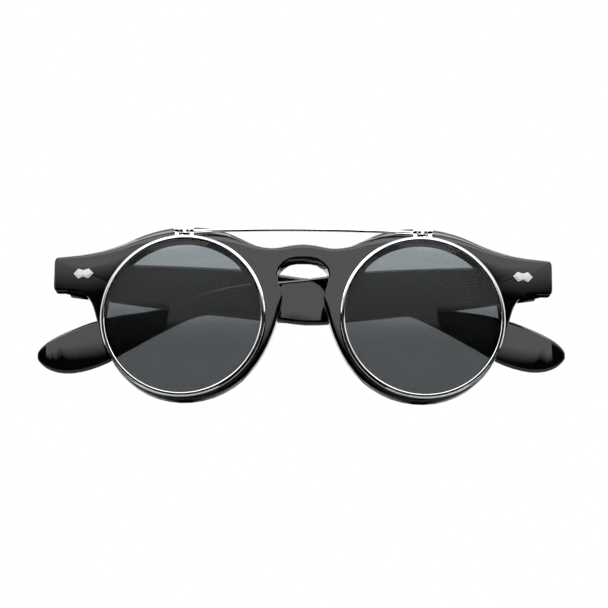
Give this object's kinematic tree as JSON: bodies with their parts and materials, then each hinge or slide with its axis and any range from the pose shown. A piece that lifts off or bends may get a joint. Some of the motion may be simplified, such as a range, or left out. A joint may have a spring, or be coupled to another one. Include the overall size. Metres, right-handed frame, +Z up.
{
  "type": "flip up sunglasses",
  "caption": "Round sunglasses with folding temples and a tinted flip-up front: lenses in thin metal rims joined by a wire bar and hinged at the brow.",
  "frame": {"origin": "middle of the nose saddle: the top of the keyhole under the bridge, halfway through the front's thickness", "axes": "+X across the face to the wearer's left (image right), +Y from the front towards the ears, +Z up; stored with temples folded and the flip front down"},
  "size_m": [0.1527, 0.0233, 0.0519],
  "materials": {
    "black_acetate": "polished",
    "smoke_base_lens": "polished smoke tint",
    "smoke_flip_lens": "polished smoke tint",
    "bright_nickel": "polished",
    "hinge_steel": "satin"
  },
  "bodies": {
    "front": {"front_frame": "black_acetate", "base_lens_right": "smoke_base_lens", "base_lens_left": "smoke_base_lens", "front_hinge_leaf_right": "hinge_steel", "front_hinge_leaf_left": "hinge_steel", "hinge_screw_right": "bright_nickel", "hinge_screw_left": "bright_nickel", "rivet_plaque_right": "bright_nickel", "rivet_plaque_left": "bright_nickel", "flip_base_right": "bright_nickel", "flip_base_left": "bright_nickel", "flip_base_screws": "bright_nickel"},
    "flip_front": {"flip_rim_right": "bright_nickel", "flip_rim_left": "bright_nickel", "flip_lens_right": "smoke_flip_lens", "flip_lens_left": "smoke_flip_lens", "flip_pin_right": "bright_nickel", "flip_pin_left": "bright_nickel", "flip_bar": "bright_nickel"},
    "temple_right_body": {"temple_right": "black_acetate", "temple_hinge_leaf_right": "hinge_steel", "temple_rivets_right": "bright_nickel"},
    "temple_left_body": {"temple_left": "black_acetate", "temple_hinge_leaf_left": "hinge_steel", "temple_rivets_left": "bright_nickel"}
  },
  "joints": [
    {"name": "temple_right_fold", "type": "hinge", "parent": "front", "child": "temple_right_body", "pos_m": [-0.0665, 0.01074, -0.0038], "axis": [0, 0, 1], "range_deg": [0, 91.5]},
    {"name": "temple_left_fold", "type": "hinge", "parent": "front", "child": "temple_left_body", "pos_m": [0.0665, 0.01074, -0.0038], "axis": [0, 0, -1], "range_deg": [0, 95]},
    {"name": "flip_up", "type": "hinge", "parent": "front", "child": "flip_front", "pos_m": [0, -0.002, 0.0081], "axis": [-1, 0, 0], "range_deg": [0, 100]}
  ]
}
